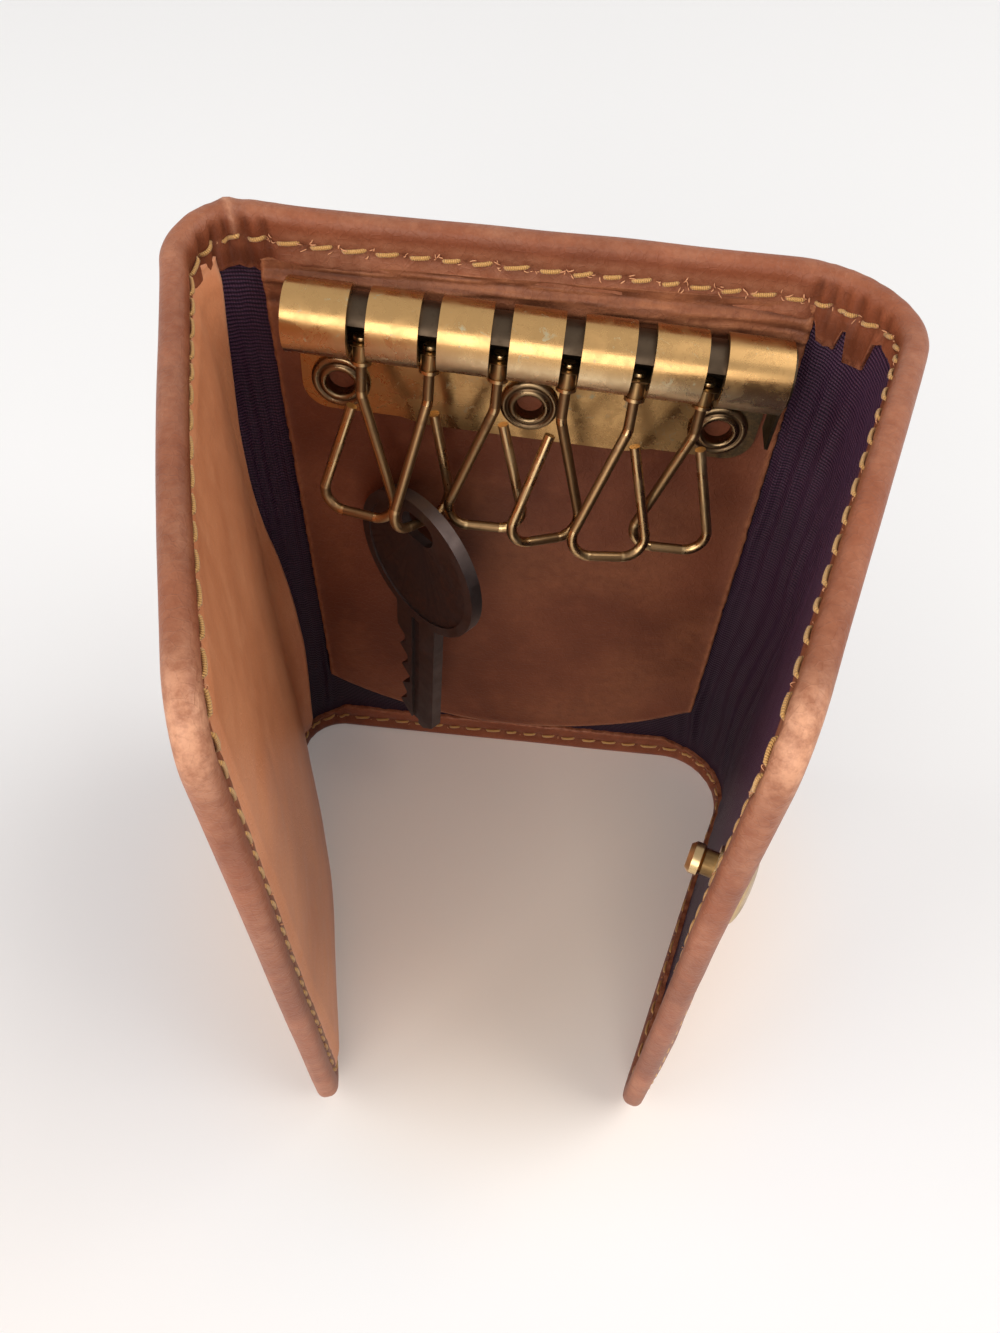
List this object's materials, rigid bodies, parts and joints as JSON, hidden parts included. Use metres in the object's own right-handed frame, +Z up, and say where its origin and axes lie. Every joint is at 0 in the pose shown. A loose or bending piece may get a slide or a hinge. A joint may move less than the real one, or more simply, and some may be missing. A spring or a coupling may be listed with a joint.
{
  "type": "key case",
  "caption": "Tri-fold leather key case that opens to a metal bar of swivelling wire hooks with a key, with satin lining, a pocket and a snap fastener.",
  "frame": {"origin": "on the table under the middle of the bounding box", "axes": "+Z up along the case; the back panel faces -Y into the open case; +X to the right as seen from the open side"},
  "size_m": [0.078, 0.068, 0.097],
  "materials": {
    "cover_leather": "smooth-grained, worn, slight sheen",
    "patch_leather": "matte, scuffed",
    "pocket_leather": "smooth, satin sheen",
    "satin": "dark purple ribbed satin",
    "board": "raw board",
    "plate_brass": "polished brass, tarnished in the hollows",
    "dark_brass": "dark tarnished brass",
    "bright_brass": "bright turned brass",
    "hook_wire": "antique brass wire",
    "spring_wire": "drawn wire",
    "key_metal": "dark worn nickel"
  },
  "bodies": {
    "back": {"back_cover": "cover_leather", "back_stiffener": "board", "back_lining": "satin", "key_patch": "patch_leather", "hook_plate": "plate_brass", "carrier_tube": "dark_brass", "tube_end_stop": "dark_brass", "eyelet_left": "dark_brass", "eyelet_centre": "dark_brass", "eyelet_right": "dark_brass"},
    "left_spine": {"left_spine_cover": "cover_leather", "left_spine_lining": "satin", "left_spine_pocket": "pocket_leather"},
    "left_flap": {"left_flap_cover": "cover_leather", "left_flap_stiffener": "board", "left_flap_lining": "satin", "pocket_panel": "pocket_leather", "snap_socket": "plate_brass", "socket_post": "dark_brass", "snap_spring": "spring_wire"},
    "right_spine": {"right_spine_cover": "cover_leather", "right_spine_lining": "satin"},
    "right_flap": {"right_flap_cover": "cover_leather", "right_flap_stiffener": "board", "right_flap_lining": "satin", "snap_stud": "plate_brass", "snap_cap": "plate_brass"},
    "swivel_1": {"swivel_1": "bright_brass"},
    "hook_1": {"hook_1": "hook_wire"},
    "swivel_2": {"swivel_2": "bright_brass"},
    "hook_2": {"hook_2": "hook_wire"},
    "swivel_3": {"swivel_3": "bright_brass"},
    "hook_3": {"hook_3": "hook_wire"},
    "swivel_4": {"swivel_4": "bright_brass"},
    "hook_4": {"hook_4": "hook_wire"},
    "swivel_5": {"swivel_5": "bright_brass"},
    "hook_5": {"hook_5": "hook_wire"},
    "swivel_6": {"swivel_6": "bright_brass"},
    "hook_6": {"hook_6": "hook_wire"},
    "key": {"key": "key_metal"}
  },
  "joints": [
    {"name": "left_fold", "type": "hinge", "parent": "back", "child": "left_spine", "pos_m": [-0.03332, 0.03208, 0], "axis": [0, 0, -1], "range_deg": [-8, 53.7]},
    {"name": "left_flap_fold", "type": "hinge", "parent": "left_spine", "child": "left_flap", "pos_m": [-0.03307, 0.00918, 0], "axis": [0, 0, -1], "range_deg": [-64.6, 53.7]},
    {"name": "right_fold", "type": "hinge", "parent": "back", "child": "right_spine", "pos_m": [0.03192, 0.03164, 0], "axis": [0, 0, 1], "range_deg": [-8, 53.7]},
    {"name": "right_flap_fold", "type": "hinge", "parent": "right_spine", "child": "right_flap", "pos_m": [0.03281, 0.00508, 0], "axis": [0, 0, 1], "range_deg": [-64.4, 53.7]},
    {"name": "hook_1_swing", "type": "hinge", "parent": "back", "child": "swivel_1", "pos_m": [-0.01937, 0.02698, 0.08822], "axis": [-0.9986, 0, 0.0523], "range_deg": [-1, 70]},
    {"name": "hook_1_swivel", "type": "hinge", "parent": "swivel_1", "child": "hook_1", "pos_m": [-0.01937, 0.02698, 0.08822], "axis": [0.0512, 0.2079, 0.9768], "range_deg": [-10, 5]},
    {"name": "hook_2_swing", "type": "hinge", "parent": "back", "child": "swivel_2", "pos_m": [-0.01158, 0.02698, 0.08781], "axis": [-0.9986, 0, 0.0523], "range_deg": [-1, 70]},
    {"name": "hook_2_swivel", "type": "hinge", "parent": "swivel_2", "child": "hook_2", "pos_m": [-0.01158, 0.02698, 0.08781], "axis": [-0.0512, -0.2079, -0.9768], "range_deg": [-9, 5]},
    {"name": "hook_3_swing", "type": "hinge", "parent": "back", "child": "swivel_3", "pos_m": [-0.0038, 0.02698, 0.0874], "axis": [-0.9986, 0, 0.0523], "range_deg": [-1, 70]},
    {"name": "hook_3_swivel", "type": "hinge", "parent": "swivel_3", "child": "hook_3", "pos_m": [-0.0038, 0.02698, 0.0874], "axis": [0.0515, 0.1736, 0.9835], "range_deg": [-10, 8]},
    {"name": "hook_4_swing", "type": "hinge", "parent": "back", "child": "swivel_4", "pos_m": [0.004, 0.02698, 0.087], "axis": [-0.9986, 0, 0.0523], "range_deg": [-1, 70]},
    {"name": "hook_4_swivel", "type": "hinge", "parent": "swivel_4", "child": "hook_4", "pos_m": [0.004, 0.02698, 0.087], "axis": [-0.051, -0.225, -0.973], "range_deg": [-60, 20]},
    {"name": "hook_5_swing", "type": "hinge", "parent": "back", "child": "swivel_5", "pos_m": [0.01178, 0.02698, 0.08659], "axis": [-0.9986, 0, 0.0523], "range_deg": [-1, 70]},
    {"name": "hook_5_swivel", "type": "hinge", "parent": "swivel_5", "child": "hook_5", "pos_m": [0.01178, 0.02698, 0.08659], "axis": [0.0498, 0.309, 0.9498], "range_deg": [-40, 7]},
    {"name": "hook_6_swing", "type": "hinge", "parent": "back", "child": "swivel_6", "pos_m": [0.01957, 0.02698, 0.08618], "axis": [-0.9986, 0, 0.0523], "range_deg": [-1, 70]},
    {"name": "hook_6_swivel", "type": "hinge", "parent": "swivel_6", "child": "hook_6", "pos_m": [0.01957, 0.02698, 0.08618], "axis": [-0.0517, -0.1564, -0.9863], "range_deg": [-6, 90]},
    {"name": "key_swing", "type": "hinge", "parent": "hook_2", "child": "key", "pos_m": [-0.01285, 0.02183, 0.06359], "axis": [-0.6336, -0.7493, 0.1927], "range_deg": [-4, 60]}
  ],
  "couplings": [
    {"joint": "hook_1_swing", "follows": "hook_2_swing", "ratio": 1},
    {"joint": "hook_3_swing", "follows": "hook_2_swing", "ratio": 1},
    {"joint": "hook_4_swing", "follows": "hook_2_swing", "ratio": 1},
    {"joint": "hook_5_swing", "follows": "hook_2_swing", "ratio": 1},
    {"joint": "hook_6_swing", "follows": "hook_2_swing", "ratio": 1}
  ]
}
